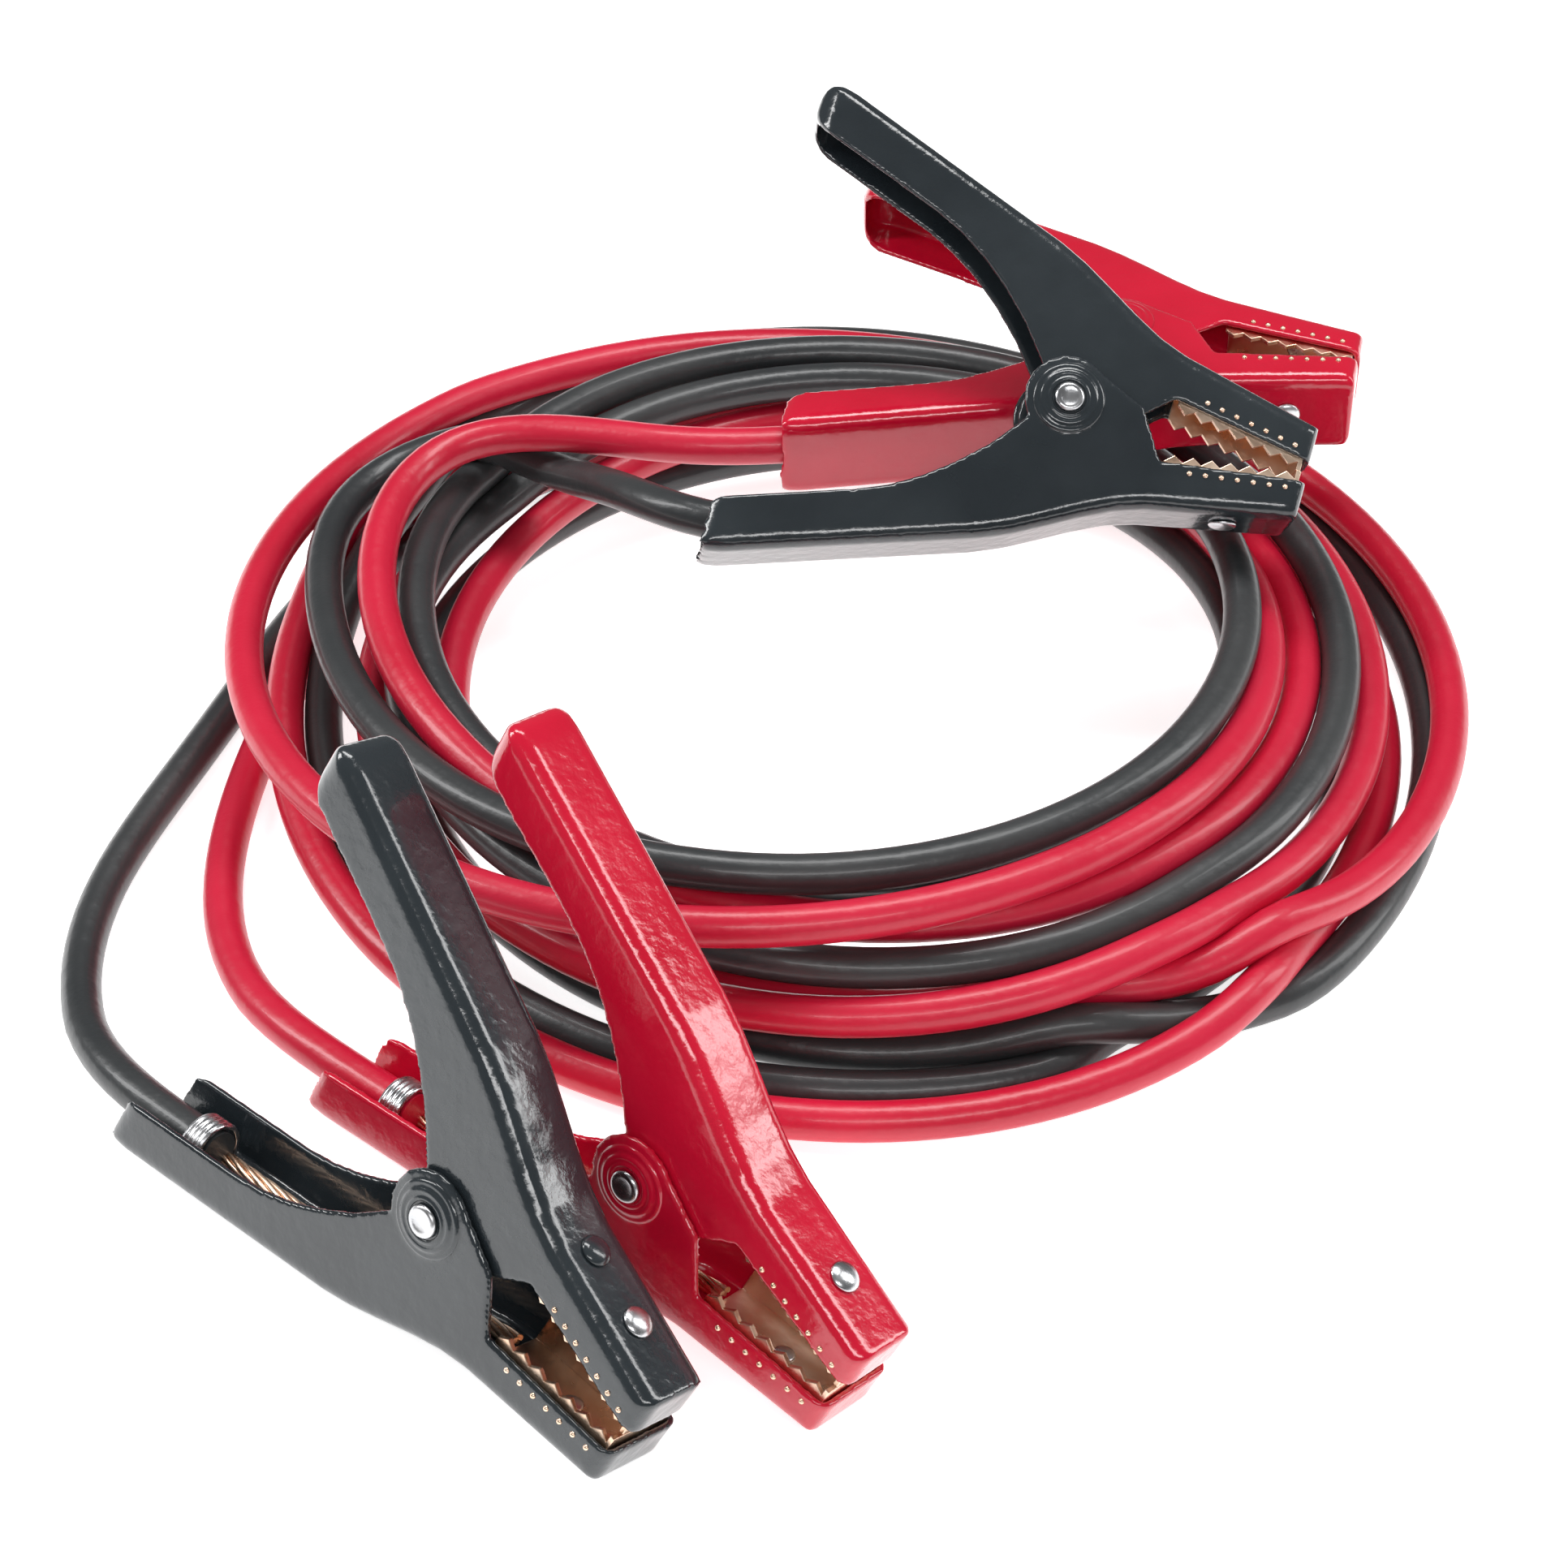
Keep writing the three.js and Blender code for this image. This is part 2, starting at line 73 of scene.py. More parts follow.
# %% [markdown]
# A catalogue picture is taken from far off with a long lens, so that the near clamps
# look no larger than the far ones. The camera stands straight in front and is tipped
# down 40 degrees, which turns the round coil into a flattened ring.

# %% Camera
ELEVATION = math.radians(40)
DISTANCE = 0.950
LENS_MM = 83.2
SENSOR_MM = 36
camera_data = bpy.data.cameras.new("camera")
camera_data.lens = LENS_MM
camera_data.sensor_width = SENSOR_MM
camera = bpy.data.objects.new("camera", camera_data)
away = Vector((0, -math.cos(ELEVATION), math.sin(ELEVATION)))
camera.location = Vector(SHIFT) + away * DISTANCE
camera.rotation_euler = (math.pi / 2 - ELEVATION, 0, 0)
bpy.context.collection.objects.link(camera)
bpy.context.scene.camera = camera
print(f"camera: {DISTANCE} m off, {math.degrees(ELEVATION):.0f} degrees down")

# %% [markdown]
# ## Cables
# Each cable is one long line from its front clamp, round the coil and on to its back
# clamp. Drawn by hand, a heap of turns would run through itself. A cord simulation would
# not give this heap. So the turns are written as angle in degrees, radius and height
# about the coil's centre, and strands that meet then push each other apart.

# %% Cable sizes and routes
CABLE_D = 10.0
LAY_GAP = 0.15
ANGLE_STEP = 5.0
COIL_TOP = 45.2
LEAD_TOP = 56
LEAD_ANGLE = 215

LEADS = {
    "front_black": [
        (-130, -143.5, 9.8), (-133.4, -140.5, 9.8), (-149.4, -126.5, 9.8), (-159.4, -116.5, 9.2),
        (-167, -104, 7), (-171.5, -90, 5.6), (-174, -74, 5.2), (-174, -56, 5.2),
        (-171, -38, 5.2), (-165, -20, 5.2), (-156.6, -4, 5.2), (-150.1, 14, 5.2),
    ],
    "front_red": [
        (-86, -130.4, 9), (-89.4, -127.5, 9), (-105.7, -113.8, 9), (-116.5, -104, 8.4),
        (-127, -92, 6.6), (-135, -78, 5.4), (-141, -62, 5.2), (-143.7, -44, 5.2),
        (-142.9, -26, 5.2),
    ],
    "back_black": [
        (2.5, 26.15, 63.8), (-2.8, 25.6, 63.85), (-9, 25, 63.95), (-19, 26, 64.5),
        (-29, 31.5, 64.8), (-38, 41.5, 62.8), (-45.5, 53, 58), (-51.5, 63, 52.5),
        (-57.3, 72, 47.2), (-62.5, 79, 43.5), (-74.9, 90.4, 42), (-94.9, 95.8, 41),
        (-113.5, 90.3, 40.5), (-126, 78.5, 40.5),
    ],
    "back_red": [
        (23, 67.6, 63), (18, 67, 63), (-3.1, 64.3, 62.7), (-17, 63.2, 62.6),
        (-32, 65.5, 62.2), (-47, 70.5, 61.3), (-62, 76.5, 59.8), (-76, 81.5, 57.6),
        (-88, 83.5, 55.9), (-98, 80.8, 55.4),
    ],
}

TURNS = {
    "red": [
        (153.7, 128.3, 55.4), (180, 133, 49), (218, 113, 46), (270, 121, 35), (315, 122, 32),
        (360, 124, 30), (405, 122, 27), (450, 120, 24), (495, 124, 22), (540, 128, 22),
        (585, 132, 20), (630, 140, 18), (675, 141, 20), (720, 142, 24), (765, 134, 28),
        (784, 131, 32), (810, 138, 31), (843, 145, 33), (860, 156, 34), (882, 164, 34),
        (906, 166, 35), (922, 165, 37), (940, 156, 40), (960, 142, 43), (990, 123, 44),
        (1035, 114, 42), (1080, 110, 38), (1125, 110, 34), (1170, 110, 30), (1215, 108, 24),
        (1260, 107, 20), (1305, 112, 15), (1350, 130, 12), (1385, 142, 13), (1400, 156, 14),
        (1415, 166, 14), (1440, 167, 15), (1465, 160, 18), (1485, 154, 20), (1530, 148, 20),
        (1575, 150, 16), (1620, 148, 10), (1665, 152, 6), (1710, 161, 5.2), (1755, 150, 5.2),
        (1800, 143, 6), (1845, 142, 8), (1890, 146, 7), (1935, 150, 6), (1962, 152, 5.2),
        (1980, 154, 5.2), (1990, 159.3, 5.2), (1997.4, 167.5, 5.2),
    ],
    "black": [
        (147, 133, 41), (159, 151, 40), (180, 143, 40), (218, 124, 43), (270, 111, 45),
        (315, 107, 44), (360, 107, 44), (405, 108, 43), (450, 110, 40), (495, 116, 36),
        (540, 120, 34), (585, 124, 32), (630, 132, 27), (675, 131, 28), (720, 133, 33),
        (765, 128, 36), (810, 124, 40), (855, 122, 42), (900, 118, 43), (945, 112, 36),
        (990, 112, 34), (1035, 108, 32), (1080, 106, 28), (1125, 106, 22), (1170, 108, 18),
        (1215, 114, 12), (1260, 120, 10), (1305, 124, 8), (1350, 137, 6), (1390, 148, 6),
        (1415, 160, 6), (1440, 158, 7), (1485, 154, 14), (1530, 160, 24), (1575, 156, 20),
        (1620, 142, 8), (1665, 142, 5.2), (1710, 149, 5.2), (1755, 138, 5.2), (1800, 132, 6),
        (1845, 132, 6), (1890, 136, 5.2), (1935, 146, 5.2), (1964.7, 155.5, 5.2),
        (1977.5, 161, 5.2), (1983.4, 167.4, 5.2),
    ],
}

# %% [markdown]
# In a slice through the coil every strand is a circle. The first step looks at each
# slice alone and pushes the circles apart, while smoothing along each strand keeps the
# bends gentle.

# %% Laying the turns
TABLE_SMOOTHING = 10
HELD_SAMPLES = 3
SLICE_PUSH = 0.3
TABLE_PULL = 0.03
STRAND_SMOOTHING = 0.2
PULL_UNTIL = 0.6
SMOOTH_UNTIL = 0.85


def smoothed(values, amount, times=1):
    """Move each value towards the mean of its two neighbours, in place."""
    for _ in range(times):
        values[1:-1] += amount * ((values[:-2] + values[2:]) / 2 - values[1:-1])
    return values


def lay_turns(tables, rounds=400):
    """Even samples of every strand, pushed apart in each slice through the coil."""
    angle, radius, height, spans = [], [], [], []
    for table in tables:
        a, r, z = np.array(table, float).T
        grid = np.arange(math.ceil(a[0] / ANGLE_STEP) * ANGLE_STEP, a[-1] + 0.01, ANGLE_STEP)
        start = sum(len(part) for part in angle)
        spans.append(slice(start, start + len(grid)))
        angle.append(grid)
        radius.append(smoothed(np.interp(grid, a, r), 0.5, TABLE_SMOOTHING))
        height.append(smoothed(np.interp(grid, a, z), 0.5, TABLE_SMOOTHING))
    angle, radius, height = (np.concatenate(parts) for parts in (angle, radius, height))
    first_radius, first_height = radius.copy(), height.copy()
    slices = np.round(angle % 360 / ANGLE_STEP).astype(int) % int(360 / ANGLE_STEP)
    one, other = np.nonzero(np.triu(slices[:, None] == slices[None, :], 1))
    held = np.zeros(len(angle), bool)
    for span in spans:
        held[span.start : span.start + HELD_SAMPLES] = True
        held[span.stop - HELD_SAMPLES : span.stop] = True
    top = np.where(angle < LEAD_ANGLE, LEAD_TOP, COIL_TOP)
    for k in range(rounds):
        gap_r, gap_z = radius[other] - radius[one], height[other] - height[one]
        apart = np.hypot(gap_r, gap_z) + 1e-9
        push = np.clip(CABLE_D + LAY_GAP - apart, 0, None) * SLICE_PUSH / apart
        for values, gap in ((radius, gap_r), (height, gap_z)):
            np.add.at(values, one, -push * gap)
            np.add.at(values, other, push * gap)
        if k < rounds * PULL_UNTIL:
            radius += TABLE_PULL * (first_radius - radius)
            height += TABLE_PULL * (first_height - height)
        height = np.clip(height, CABLE_D / 2 + 0.1, top)
        radius[held], height[held] = first_radius[held], first_height[held]
        if k < rounds * SMOOTH_UNTIL:
            for span in spans:
                smoothed(radius[span], STRAND_SMOOTHING)
                smoothed(height[span], STRAND_SMOOTHING)
    turn = np.radians(angle)
    x = COIL_CENTRE[0] + radius * np.cos(turn)
    y = COIL_CENTRE[1] + radius * np.sin(turn)
    place = np.stack([x, y, height], axis=1)
    return [place[span] for span in spans]


# %% Lines and tubes
FINE_STEPS = 12


def lengths(line):
    return np.linalg.norm(np.diff(line, axis=0), axis=1)


def curve_through(points, spacing):
    """A smooth line through the points, as even samples."""
    points = np.asarray(points, float)
    knots = np.concatenate([[0], np.cumsum(lengths(points) ** 0.5)])
    slopes = np.gradient(points, knots, axis=0)
    fine = []
    for i in range(len(points) - 1):
        width = knots[i + 1] - knots[i]
        t = np.linspace(0, 1, FINE_STEPS, endpoint=False)[:, None]
        fine.append(
            (2 * t**3 - 3 * t**2 + 1) * points[i]
            + (t**3 - 2 * t**2 + t) * width * slopes[i]
            + (3 * t**2 - 2 * t**3) * points[i + 1]
            + (t**3 - t**2) * width * slopes[i + 1]
        )
    fine = np.concatenate([*fine, points[-1:]])
    run = np.concatenate([[0], np.cumsum(lengths(fine))])
    even = np.linspace(0, run[-1], max(2, round(run[-1] / spacing)))
    return np.stack([np.interp(even, run, fine[:, k]) for k in range(3)], axis=1)


def tubes(name, lines, radius, resolution=6):
    """Round tubes along open lines, made as a bevelled curve and kept as one mesh."""
    data = bpy.data.curves.new(name, "CURVE")
    data.dimensions = "3D"
    data.bevel_depth = radius
    data.bevel_resolution = resolution
    data.use_fill_caps = True
    for line in lines:
        spline = data.splines.new("POLY")
        spline.points.add(len(line) - 1)
        for target, place in zip(spline.points, line):
            target.co = (*place, 1)
    curve = bpy.data.objects.new(name, data)
    mesh = bpy.data.meshes.new_from_object(curve)
    bpy.data.objects.remove(curve)
    mesh.shade_smooth()
    piece = bpy.data.objects.new(name, mesh)
    bpy.context.collection.objects.link(piece)
    return piece


# %% [markdown]
# The slices miss strands that cross at an angle, as where a lead leaves the coil. The
# second step works on the whole lines: any two samples that are too close push each
# other apart, the later one upwards, as a cord that is laid later lies on top.

# %% Settling the strands
HELD_ENDS = 20
NEIGHBOURS = 14
PAIR_REACH = 3
PAIRS_EVERY = 10
LEVEL = 0.3
PUSH_SHARE = 0.8
EASE = 0.3


def settle(lines, spacing, passes=80):
    """Push strands apart where they run through each other; later strands go on top."""
    points = np.concatenate(lines)
    count = len(points)
    lowest = np.minimum(points[:, 2], spacing / 2)
    strand = np.repeat(np.arange(len(lines)), [len(line) for line in lines])
    order = np.arange(count)
    beside = np.abs(order[:, None] - order[None]) <= NEIGHBOURS
    beside &= strand[:, None] == strand[None]
    from_start = np.concatenate([np.arange(len(line)) for line in lines])
    from_end = np.concatenate([len(line) - 1 - np.arange(len(line)) for line in lines])
    free = np.minimum(from_start, from_end) / HELD_ENDS - 0.5
    free = np.clip(free, 0, 1)[:, None]
    inner = (strand[1:-1] == strand[:-2]) & (strand[1:-1] == strand[2:])
    for step in range(passes):
        if step % PAIRS_EVERY == 0:
            apart = np.linalg.norm(points[:, None] - points[None], axis=2)
            close = (apart < PAIR_REACH * spacing) & ~beside & (order[:, None] > order[None])
            upper, lower = np.nonzero(close)
        gap = points[upper] - points[lower]
        short = np.clip(spacing - np.linalg.norm(gap, axis=1), 0, None)
        gap[np.abs(gap[:, 2]) < LEVEL * spacing, 2] += LEVEL * spacing
        push = (short / np.maximum(np.linalg.norm(gap, axis=1), 1e-6))[:, None] * gap
        total = np.zeros_like(points)
        np.add.at(total, upper, push)
        np.add.at(total, lower, -push)
        touching = np.bincount(upper[short > 0], minlength=count)
        touching += np.bincount(lower[short > 0], minlength=count)
        points += PUSH_SHARE * free * total / np.maximum(touching, 1)[:, None]
        bend = 0.5 * (points[:-2] + points[2:]) - points[1:-1]
        points[1:-1][inner] += (EASE * free[1:-1] * bend)[inner]
        points[:, 2] = np.maximum(points[:, 2], lowest)
    return np.split(points, np.cumsum([len(line) for line in lines])[:-1])


# %% The two cables
ROOT = "cables_and_lower_levers"
SAMPLE_SPACING = 6.0
LINE_SMOOTHING = 12
SETTLED_GAP = 1.02
FRONT_BLEND = 3
BACK_BLEND = {"red": 4, "black": 5}
CABLE_ROUNDNESS = 7
red_turns, black_turns = lay_turns([TURNS["red"], TURNS["black"]])
cables = {}
lines = {}
for colour, turns in (("black", black_turns), ("red", red_turns)):
    turns = turns[::-1][FRONT_BLEND : -BACK_BLEND[colour]]
    route = [*LEADS[f"front_{colour}"], *turns, *LEADS[f"back_{colour}"][::-1]]
    lines[colour] = curve_through(plan(route), SAMPLE_SPACING * MM)
    for axis in lines[colour].T:
        smoothed(axis, 0.5, LINE_SMOOTHING)
settled = settle(list(lines.values()), SETTLED_GAP * CABLE_D * MM)
for colour, line in zip(lines, settled):
    cable = tubes(f"{colour}_cable", [line], CABLE_D * MM / 2, CABLE_ROUNDNESS)
    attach(cable, ROOT)
    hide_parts(f"{colour}_cable_coil", f"front_{colour}_lead", f"back_{colour}_lead")
    cables[colour] = cable

# %% [markdown]
# ## Materials
# Dipped vinyl, extruded sheath, stamped copper and plated steel are all a little uneven
# in colour, gloss and surface. A picture would have to be wrapped round each shape, so
# the unevenness comes from noise in the object's own coordinates. One group holds it,
# and each material gives that group its own scales and depth.

# %% Shared node group


def make_grain():
    """A broad mask for colour and gloss, and a finely bumped normal."""
    group = bpy.data.node_groups.new("grain", "ShaderNodeTree")
    sockets = group.interface
    for given in ("Fine scale", "Broad scale", "Depth"):
        sockets.new_socket(given, in_out="INPUT", socket_type="NodeSocketFloat")
    sockets.new_socket("Mask", in_out="OUTPUT", socket_type="NodeSocketFloat")
    sockets.new_socket("Normal", in_out="OUTPUT", socket_type="NodeSocketVector")
    nodes, links = group.nodes, group.links
    given = nodes.new("NodeGroupInput")
    result = nodes.new("NodeGroupOutput")
    place = nodes.new("ShaderNodeTexCoord")
    fine = nodes.new("ShaderNodeTexNoise")
    fine.inputs["Detail"].default_value = 4
    broad = nodes.new("ShaderNodeTexNoise")
    broad.inputs["Detail"].default_value = 3
    bump = nodes.new("ShaderNodeBump")
    bump.inputs["Strength"].default_value = 1
    links.new(place.outputs["Object"], fine.inputs["Vector"])
    links.new(place.outputs["Object"], broad.inputs["Vector"])
    links.new(given.outputs["Fine scale"], fine.inputs["Scale"])
    links.new(given.outputs["Broad scale"], broad.inputs["Scale"])
    links.new(given.outputs["Depth"], bump.inputs["Distance"])
    links.new(fine.outputs["Fac"], bump.inputs["Height"])
    links.new(broad.outputs["Fac"], result.inputs["Mask"])
    links.new(bump.outputs["Normal"], result.inputs["Normal"])
    return group


GRAIN = make_grain()

# %% A material from its values
COAT_ROUGHNESS = 0.08
COLOUR_SPREAD = (0.35, 0.65)
GLOSS_SPREAD = (0.3, 0.7)


def make_material(name, light, dark, rough, fine, broad, depth, metallic, coat):
    """Two close colours and a roughness range, spread by the grain group's mask."""
    material = bpy.data.materials.new(name)
    material.use_nodes = True
    nodes, links = material.node_tree.nodes, material.node_tree.links
    shader = nodes["Principled BSDF"]
    shader.inputs["Metallic"].default_value = metallic
    shader.inputs["Coat Weight"].default_value = coat
    shader.inputs["Coat Roughness"].default_value = COAT_ROUGHNESS
    grain = nodes.new("ShaderNodeGroup")
    grain.node_tree = GRAIN
    grain.inputs["Fine scale"].default_value = fine
    grain.inputs["Broad scale"].default_value = broad
    grain.inputs["Depth"].default_value = depth
    ramp = nodes.new("ShaderNodeValToRGB")
    for stop, position, colour in zip(ramp.color_ramp.elements, COLOUR_SPREAD, (dark, light)):
        stop.position = position
        stop.color = (*colour, 1)
    spread = nodes.new("ShaderNodeMapRange")
    spread.inputs["From Min"].default_value = GLOSS_SPREAD[0]
    spread.inputs["From Max"].default_value = GLOSS_SPREAD[1]
    spread.inputs["To Min"].default_value = rough[0]
    spread.inputs["To Max"].default_value = rough[1]
    links.new(grain.outputs["Mask"], ramp.inputs["Fac"])
    links.new(grain.outputs["Mask"], spread.inputs["Value"])
    links.new(ramp.outputs["Color"], shader.inputs["Base Color"])
    links.new(spread.outputs["Result"], shader.inputs["Roughness"])
    links.new(grain.outputs["Normal"], shader.inputs["Normal"])
    return material


# %% [markdown]
# The coats are glossy with a clear skin, the sheaths are duller, and the two metals
# differ in colour and in how fine their grain is. Colours are linear values of red,
# green and blue.

# %% Finishes
FINISHES = {
    "red_coat": {
        "light": (0.63, 0.006, 0.034), "dark": (0.55, 0.004, 0.026), "rough": (0.12, 0.2),
        "fine": 260, "broad": 28, "depth": 0.00025, "metallic": 0, "coat": 0.5,
    },
    "black_coat": {
        "light": (0.026, 0.033, 0.038), "dark": (0.016, 0.021, 0.025), "rough": (0.12, 0.2),
        "fine": 260, "broad": 28, "depth": 0.00025, "metallic": 0, "coat": 0.5,
    },
    "red_cable": {
        "light": (0.62, 0.008, 0.042), "dark": (0.52, 0.006, 0.030), "rough": (0.3, 0.42),
        "fine": 180, "broad": 16, "depth": 0.0003, "metallic": 0, "coat": 0.15,
    },
    "black_cable": {
        "light": (0.042, 0.044, 0.045), "dark": (0.026, 0.029, 0.031), "rough": (0.32, 0.44),
        "fine": 180, "broad": 16, "depth": 0.0003, "metallic": 0, "coat": 0.15,
    },
    "copper": {
        "light": (0.97, 0.75, 0.58), "dark": (0.89, 0.58, 0.40), "rough": (0.22, 0.4),
        "fine": 420, "broad": 90, "depth": 0.0001, "metallic": 1, "coat": 0,
    },
    "steel": {
        "light": (0.72, 0.72, 0.73), "dark": (0.52, 0.53, 0.55), "rough": (0.2, 0.36),
        "fine": 520, "broad": 120, "depth": 0.00008, "metallic": 1, "coat": 0,
    },
}
MATERIALS = {name: make_material(name, **values) for name, values in FINISHES.items()}
print("finishes:", ", ".join(MATERIALS))


def finish_piece(piece, slot_name, body):
    """Give a piece the material named by its slot, and the body that carries it."""
    piece.data.materials.clear()
    piece.data.materials.append(MATERIALS[slot_name])
    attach(piece, body)
    return piece


for colour, cable in cables.items():
    cable.data.materials.append(MATERIALS[f"{colour}_cable"])

# %% [markdown]
# ## Clamps
# Each clamp's pieces are drawn about its pivot, in millimetres: x towards the nose, y
# across, z over the pivot. The clamp's own turn and its hinge's place then put them down.

# %% Clamp places, as yaw, lean and pitch in degrees
CLAMPS = {
    "front_black": (-41, -20, 20.1),
    "front_red": (-40, -14, 20.1),
    "back_black": (6.6, -49, 21),
    "back_red": (-12.8, -88, 0),
}
HINGES = {j["name"]: j for j in record["behaviour"]["joints"]}


def clamp_matrix(name):
    """From millimetres about a clamp's pivot to metres in the row frame."""
    yaw, lean, pitch = (math.radians(v) for v in CLAMPS[name])
    place = Matrix.Translation(HINGES[f"{name}_pivot"]["pos_m"])
    turn = Matrix.Rotation(yaw, 4, "Z") @ Matrix.Rotation(lean, 4, "X")
    turn = turn @ Matrix.Rotation(pitch, 4, "Y")
    return place @ turn @ Matrix.Scale(MM, 4)


def piece_from(name, form, matrix, smooth=True):
    """A finished object from a bmesh drawn about a clamp's pivot."""
    bmesh.ops.transform(form, matrix=matrix, verts=form.verts)
    bmesh.ops.recalc_face_normals(form, faces=form.faces)
    mesh = bpy.data.meshes.new(name)
    form.to_mesh(mesh)
    form.free()
    if smooth:
        mesh.shade_smooth()
    piece = bpy.data.objects.new(name, mesh)
    bpy.context.collection.objects.link(piece)
    return piece


# %% [markdown]
# A dipped coat rounds every edge of the sheet below it. A bevel would stumble over the
# lever's many short cut edges. Its CAD surface is remeshed finely and relaxed instead,
# so that its corners go soft while its walls stay where they are.

# %% Coated levers
COAT_VOXEL = 0.62 * MM
COAT_RELAX_STEPS = 12


def coated(node, body, slot_name):
    """A soft-edged copy of a lever's surface."""
    source = bpy.data.objects[node]
    piece = bpy.data.objects.new(f"{node}_coat", source.data.copy())
    bpy.context.collection.objects.link(piece)
    remesh = piece.modifiers.new("remesh", "REMESH")
    remesh.mode = "VOXEL"
    remesh.voxel_size = COAT_VOXEL
    relax = piece.modifiers.new("relax", "SMOOTH")
    relax.factor = 0.5
    relax.iterations = COAT_RELAX_STEPS
    seen = piece.evaluated_get(bpy.context.evaluated_depsgraph_get())
    mesh = bpy.data.meshes.new_from_object(seen)
    piece.modifiers.clear()
    piece.data = mesh
    mesh.shade_smooth()
    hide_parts(node)
    return finish_piece(piece, slot_name, body)


# %% [markdown]
# Pins and rivets are turned or headed, so they are round about one axis. Each starts as
# a short profile of radius and height that is spun, with its seam merged.

# %% Turned pieces
MERGE_MM = 1e-3


def spun(form, profile, matrix, steps=40):
    """Turn a profile of radius and height about the z axis of a place."""
    rim = [form.verts.new((r, 0, h)) for r, h in profile]
    edges = [form.edges.new(pair) for pair in zip(rim, rim[1:])]
    bmesh.ops.spin(
        form,
        geom=[*rim, *edges],
        cent=(0, 0, 0),
        axis=(0, 0, 1),
        angle=math.tau,
        steps=steps,
        use_merge=True,
    )
    verts = list({v for v in form.verts if v.is_valid and not v.tag})
    bmesh.ops.transform(form, matrix=matrix, verts=verts)
    for v in verts:
        v.tag = True
    bmesh.ops.remove_doubles(form, verts=verts, dist=MERGE_MM)


def facing(origin, direction):
    """A place whose z axis points in a direction."""
    turn = Vector((0, 0, 1)).rotation_difference(Vector(direction)).to_matrix().to_4x4()
    return Matrix.Translation(origin) @ turn


# %% Where the backs of a lever lie
JAW_SLOPE = math.radians(12.5)
HANDLE_SLOPE = math.radians(20.1)
NOSE_X, NOSE_HEIGHT = 65, 13
LOWER_WIDTH, UPPER_WIDTH = 24, 19.6


def jaw_back(x):
    """Height of a jaw's back over the pivot."""
    return NOSE_HEIGHT + (NOSE_X - x) * math.tan(JAW_SLOPE)


def handle_back(x, inset=0):
    """Height of a handle's back over the pivot, or of a line inside it."""
    outside = NOSE_HEIGHT + (NOSE_X - x) * math.tan(HANDLE_SLOPE)
    return outside - inset / math.cos(HANDLE_SLOPE)


# %% Rivets, with a domed head outside and a flared end inside
DOME = [(0, 1.6), (1.4, 1.52), (2.6, 1.25), (3.4, 0.8), (3.7, 0.4), (3.6, 0.2), (1.6, 0.2)]
SHANK = [(1.6, -3.6), (2.5, -3.6), (2.5, -4.1), (2.0, -4.3), (0, -4.4)]
RIVET_STEPS = 28
RIVET_X = 48
SECOND_RIVET_X = 31


def rivet(node, x, side, matrix, slot_name, body):
    form = bmesh.new()
    outwards = (math.sin(JAW_SLOPE), 0, math.cos(JAW_SLOPE) * side)
    spun(form, DOME + SHANK, facing((x, 0, jaw_back(x) * side), outwards), RIVET_STEPS)
    piece = piece_from(f"{node}_head", form, matrix)
    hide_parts(node)
    return finish_piece(piece, slot_name, body)


# %% Pivot pins, the same at both ends, with a shallow dimple in each head
PIN_STEPS = 32
PIN_HALF = [
    (2.6, 12), (2.6, 13.3), (3.8, 13.3), (3.9, 13.7), (3.6, 14.25), (2.9, 14.5),
    (2.3, 14.3), (1.5, 14.15), (0, 14.1),
]


def pivot_pin(name, matrix):
    form = bmesh.new()
    profile = [(r, -h) for r, h in reversed(PIN_HALF)] + PIN_HALF
    spun(form, profile, facing((0, 0, 0), (0, 1, 0)), PIN_STEPS)
    piece = piece_from(f"{name}_pivot_pin_turned", form, matrix)
    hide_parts(f"{name}_pivot_pin")
    return finish_piece(piece, "steel", ROOT)


# %% Ridged rings round the pin, pressed into the lower lever's ears
BOSS_STEPS = 48
BOSS_RIDGES = [
    (4.3, 0.7), (4.4, 1.2), (4.9, 1.35), (5.4, 1.2), (5.8, 0.95), (6.3, 1.15), (6.8, 1.2),
    (7.3, 0.95), (7.8, 0.6), (8.3, 0.7), (8.9, 0.6), (9.3, 0.2), (9.4, -0.3),
]


def boss_rings(name, matrix, slot_name):
    form = bmesh.new()
    for face in (1, -1):
        seat = facing((0, face * LOWER_WIDTH / 2, 0), (0, face, 0))
        spun(form, BOSS_RIDGES, seat, BOSS_STEPS)
    return finish_piece(piece_from(f"{name}_boss_rings", form, matrix), slot_name, ROOT)


# %% [markdown]
# The spring is a real coil of wire round the pin, with one leg along each handle. The
# coil's line is written as a turning angle and swept with a round wire.

# %% Spring
WIRE_R = 0.8
SPRING_R = 4.1
SPRING_TURNS = 6.25
SPRING_HALF = 5
SPRING_SAMPLES = 220
LEG_ANGLE = math.radians(125)
LEG_LENGTH = 34
LEG_SIDE = -4.5
LEG_SAMPLES = 12
WIRE_ROUNDNESS = 3


def spring(name, matrix):
    t = np.linspace(0, 1, SPRING_SAMPLES)
    sweep = -LEG_ANGLE - math.pi / 2 - t * (SPRING_TURNS * math.tau)
    across = SPRING_HALF * (2 * t - 1)
    line = np.stack([SPRING_R * np.cos(sweep), across, SPRING_R * np.sin(sweep)], axis=1)
    world = [matrix @ Vector(p) for p in line]
    piece = tubes(f"{name}_spring_coil", [world], WIRE_R * MM, WIRE_ROUNDNESS)
    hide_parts(f"{name}_spring")
    return finish_piece(piece, "steel", ROOT)


